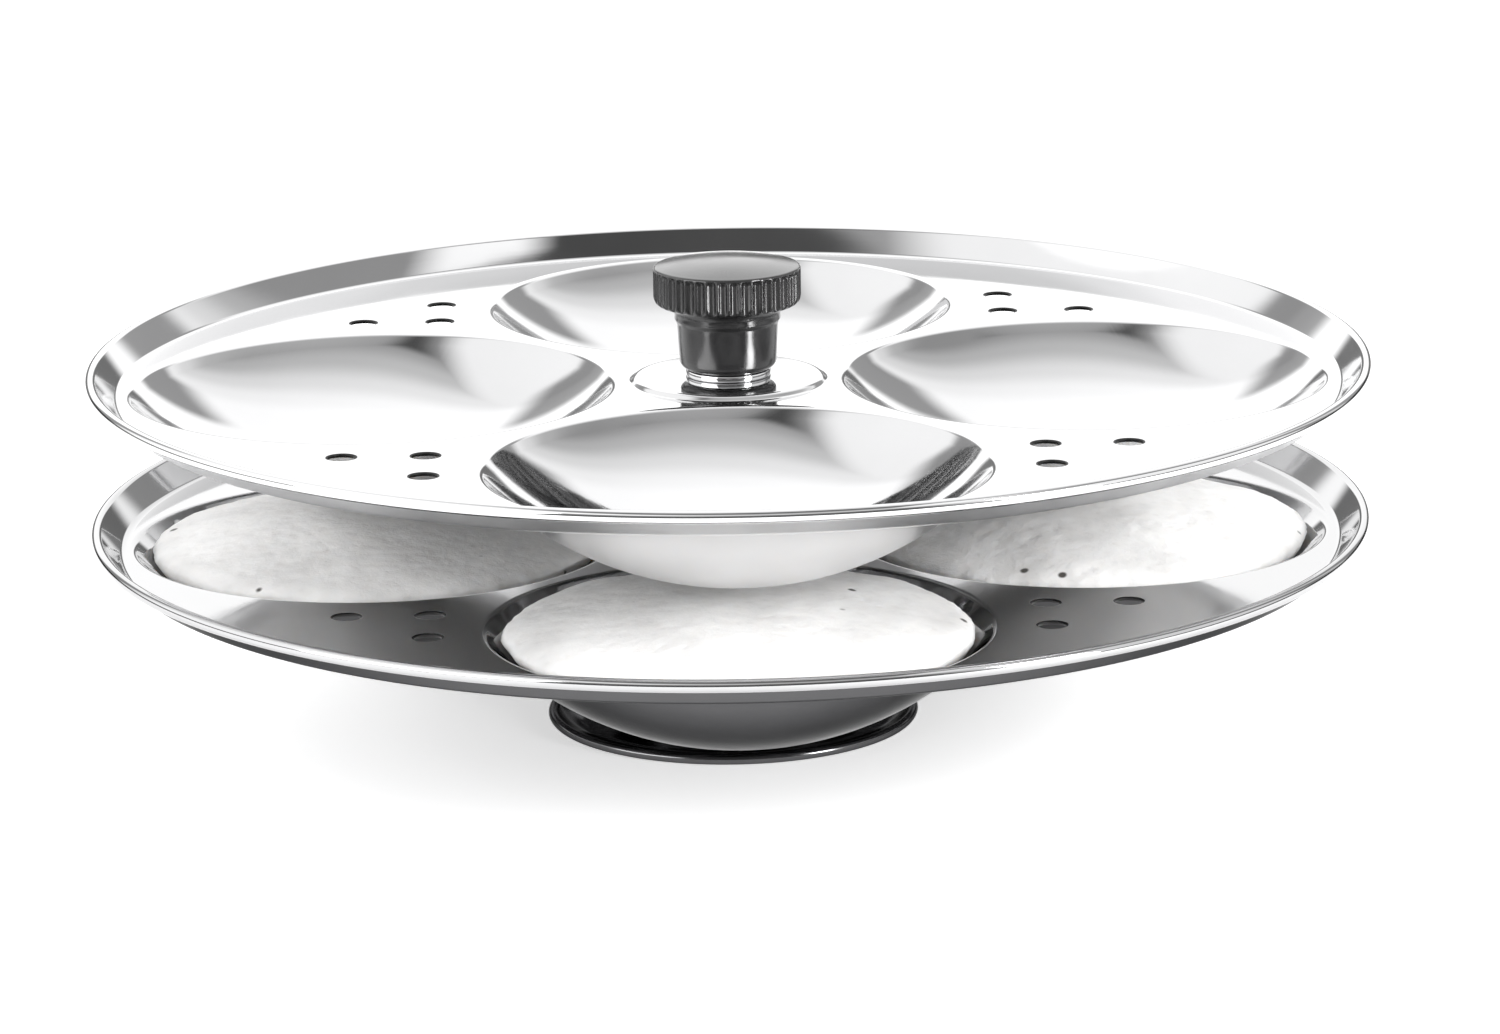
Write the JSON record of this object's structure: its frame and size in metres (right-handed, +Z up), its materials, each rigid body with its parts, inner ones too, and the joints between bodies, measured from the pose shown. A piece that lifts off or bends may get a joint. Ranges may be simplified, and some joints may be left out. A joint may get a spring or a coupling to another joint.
{
  "type": "idli steaming stand",
  "caption": "Tiered steel stand for steaming idli cakes: round cupped plates on a central rod with spacers, a screw knob on top and a small pressed foot.",
  "frame": {"origin": "centre of the foot's underside, on the stand's axis", "axes": "+Z up along the rod; -Y towards the viewer, +X to the viewer's right; one cup of each plate lies on each of +X, +Y, -X and -Y"},
  "size_m": [0.1956, 0.1956, 0.0718],
  "materials": {
    "polished_steel": "mirror-polished stainless steel plates and foot",
    "turned_steel": "turned and drawn stainless steel, satin",
    "knob_black": "glossy black moulded phenolic",
    "brass": "machined brass",
    "rice_cake": "steamed rice cake, porous and slightly damp"
  },
  "bodies": {
    "base": {"foot": "polished_steel", "rod": "turned_steel", "foot_washers": "turned_steel", "foot_nuts": "turned_steel"},
    "lower_spacer": {"lower_spacer": "turned_steel"},
    "lower_plate": {"lower_plate": "polished_steel", "idli_front": "rice_cake", "idli_right": "rice_cake", "idli_back": "rice_cake", "idli_left": "rice_cake"},
    "middle_spacer": {"middle_spacer": "turned_steel"},
    "upper_plate": {"upper_plate": "polished_steel"},
    "knob_collar": {"knob_collar": "polished_steel"},
    "knob": {"knob": "knob_black", "knob_insert": "brass"}
  },
  "joints": [
    {"name": "lower_plate_turn", "type": "hinge", "parent": "base", "child": "lower_spacer", "pos_m": [0, 0, 0.029], "axis": [0, 0, 1], "continuous": true},
    {"name": "lower_plate_lift", "type": "slide", "parent": "lower_spacer", "child": "lower_plate", "axis": [0, 0, 1], "range_m": [0, 0.05]},
    {"name": "upper_plate_turn", "type": "hinge", "parent": "lower_plate", "child": "middle_spacer", "pos_m": [0, 0, 0.053], "axis": [0, 0, 1], "continuous": true},
    {"name": "upper_plate_lift", "type": "slide", "parent": "middle_spacer", "child": "upper_plate", "axis": [0, 0, 1], "range_m": [0, 0.03]},
    {"name": "knob_rise", "type": "slide", "parent": "upper_plate", "child": "knob_collar", "axis": [0, 0, 1], "range_m": [0, 0.009]},
    {"name": "knob_turn", "type": "hinge", "parent": "knob_collar", "child": "knob", "pos_m": [0, 0, 0.06], "axis": [0, 0, 1], "range_deg": [0, 3240]}
  ],
  "couplings": [
    {"joint": "knob_rise", "follows": "knob_turn", "m_per_rad": 0.00015915}
  ]
}
